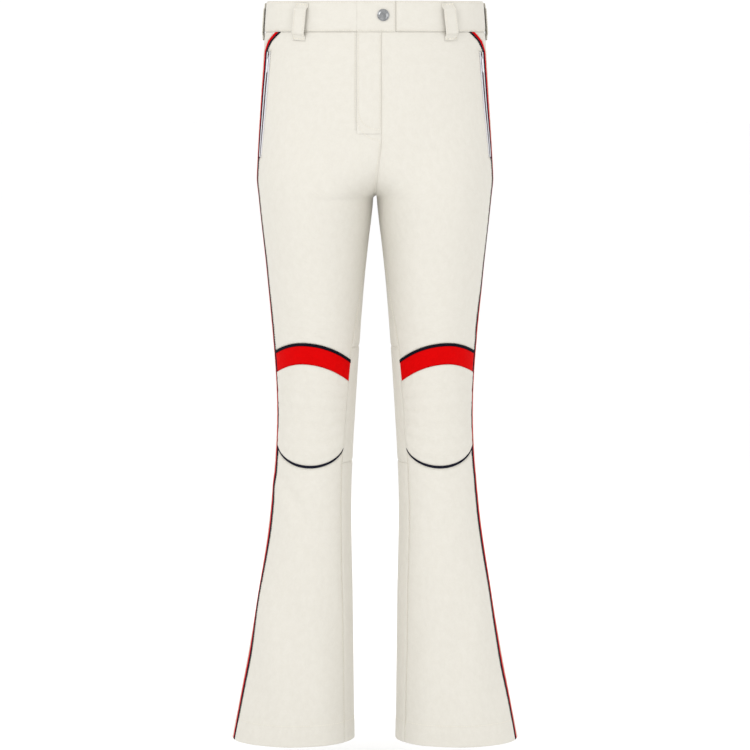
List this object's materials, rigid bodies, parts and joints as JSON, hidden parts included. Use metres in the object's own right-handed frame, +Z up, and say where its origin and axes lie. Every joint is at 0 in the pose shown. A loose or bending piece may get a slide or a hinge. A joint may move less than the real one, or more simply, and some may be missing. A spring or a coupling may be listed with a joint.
{
  "type": "ski pants",
  "caption": "Women's flared cream ski pants with snap waistband, zipped fly and hip pockets, red and navy side piping, quilted knees and snow gaiters.",
  "frame": {"origin": "centre of the waist opening, in the plane of the waistband's top edge", "axes": "+Z up along the legs, -Y to the front, +X to the wearer's left"},
  "size_m": [0.423, 0.2177, 1.088],
  "materials": {
    "shell_cloth": "matte stretch softshell, cream",
    "lining_cloth": "smooth taffeta, off-white",
    "stripe_red": "matte, red",
    "piping_navy": "matte, dark navy",
    "zip_tape": "woven tape with moulded teeth, white",
    "zip_pull": "satin, white",
    "zip_metal": "satin nickel",
    "snap_metal": "polished nickel",
    "grip_elastic": "matte elastic with grip",
    "wadding": "fleece padding"
  },
  "bodies": {
    "pants": {"belt_loop_back": "shell_cloth", "belt_loop_front_left": "shell_cloth", "belt_loop_front_right": "shell_cloth", "belt_loop_side_left": "shell_cloth", "belt_loop_side_right": "shell_cloth", "fly_facing": "lining_cloth", "fly_flap": "shell_cloth", "fly_shield": "lining_cloth", "fly_zip": "zip_tape", "left_back_thigh": "shell_cloth", "left_front_thigh": "shell_cloth", "left_knee_back": "shell_cloth", "left_knee_band": "stripe_red", "left_knee_panel": "shell_cloth", "left_knee_piping_bottom": "piping_navy", "left_knee_piping_top": "piping_navy", "left_knee_wadding": "wadding", "left_pocket_bag": "lining_cloth", "left_pocket_zip": "zip_tape", "left_side_piping": "piping_navy", "left_side_stripe": "stripe_red", "right_back_thigh": "shell_cloth", "right_front_thigh": "shell_cloth", "right_knee_back": "shell_cloth", "right_knee_band": "stripe_red", "right_knee_panel": "shell_cloth", "right_knee_piping_bottom": "piping_navy", "right_knee_piping_top": "piping_navy", "right_knee_wadding": "wadding", "right_pocket_bag": "lining_cloth", "right_pocket_zip": "zip_tape", "right_side_piping": "piping_navy", "right_side_stripe": "stripe_red", "snap_post": "snap_metal", "snap_stud": "snap_metal", "waist_underlap": "shell_cloth", "waistband_facing": "lining_cloth", "waistband_left": "shell_cloth", "waistband_right": "shell_cloth"},
    "waist_tab": {"waist_tab": "shell_cloth", "snap_cap": "snap_metal", "snap_socket": "snap_metal"},
    "fly_slider": {"fly_slider": "zip_metal"},
    "fly_pull": {"fly_pull": "zip_pull"},
    "left_shin": {"left_front_shin": "shell_cloth", "left_back_shin": "shell_cloth", "left_hem_facing": "lining_cloth", "left_gaiter": "lining_cloth", "left_gaiter_grip": "grip_elastic"},
    "left_pocket_slider": {"left_pocket_slider": "zip_metal"},
    "left_pocket_pull": {"left_pocket_pull": "zip_pull"},
    "right_shin": {"right_front_shin": "shell_cloth", "right_back_shin": "shell_cloth", "right_hem_facing": "lining_cloth", "right_gaiter": "lining_cloth", "right_gaiter_grip": "grip_elastic"},
    "right_pocket_slider": {"right_pocket_slider": "zip_metal"},
    "right_pocket_pull": {"right_pocket_pull": "zip_pull"}
  },
  "joints": [
    {"name": "waist_tab_opens", "type": "hinge", "parent": "pants", "child": "waist_tab", "pos_m": [-0.02582, -0.08484, 0], "axis": [0, -0.0573, -0.9984], "range_deg": [0, 80], "deforming": ["fly_flap"]},
    {"name": "fly_zip_slides", "type": "slide", "parent": "pants", "child": "fly_slider", "axis": [0, -0.0581, -0.9983], "range_m": [0, 0.116]},
    {"name": "fly_pull_swings", "type": "hinge", "parent": "fly_slider", "child": "fly_pull", "pos_m": [0, -0.08501, -0.05764], "axis": [-1, 0, 0], "range_deg": [0, 120], "deforming": ["fly_flap"]},
    {"name": "left_pocket_zip_slides", "type": "slide", "parent": "pants", "child": "left_pocket_slider", "axis": [0.0857, 0.0063, -0.9963], "range_m": [0, 0.118]},
    {"name": "left_pocket_pull_swings", "type": "hinge", "parent": "left_pocket_slider", "child": "left_pocket_pull", "pos_m": [0.15549, -0.02765, -0.08036], "axis": [-0.4037, -0.914, -0.0405], "range_deg": [0, 120]},
    {"name": "left_knee_bends", "type": "hinge", "parent": "pants", "child": "left_shin", "pos_m": [0.0865, -0.004, -0.588], "axis": [1, 0, 0], "range_deg": [0, 90], "deforming": ["left_side_stripe", "left_side_piping", "left_knee_piping_top", "left_knee_band", "left_knee_panel", "left_knee_wadding", "left_knee_back", "left_knee_piping_bottom"]},
    {"name": "right_pocket_zip_slides", "type": "slide", "parent": "pants", "child": "right_pocket_slider", "axis": [-0.0857, 0.0063, -0.9963], "range_m": [0, 0.118]},
    {"name": "right_pocket_pull_swings", "type": "hinge", "parent": "right_pocket_slider", "child": "right_pocket_pull", "pos_m": [-0.15549, -0.02765, -0.08036], "axis": [-0.4037, 0.914, 0.0405], "range_deg": [0, 120]},
    {"name": "right_knee_bends", "type": "hinge", "parent": "pants", "child": "right_shin", "pos_m": [-0.0865, -0.004, -0.588], "axis": [1, 0, 0], "range_deg": [0, 90], "deforming": ["right_side_stripe", "right_side_piping", "right_knee_piping_top", "right_knee_band", "right_knee_panel", "right_knee_wadding", "right_knee_back", "right_knee_piping_bottom"]}
  ]
}
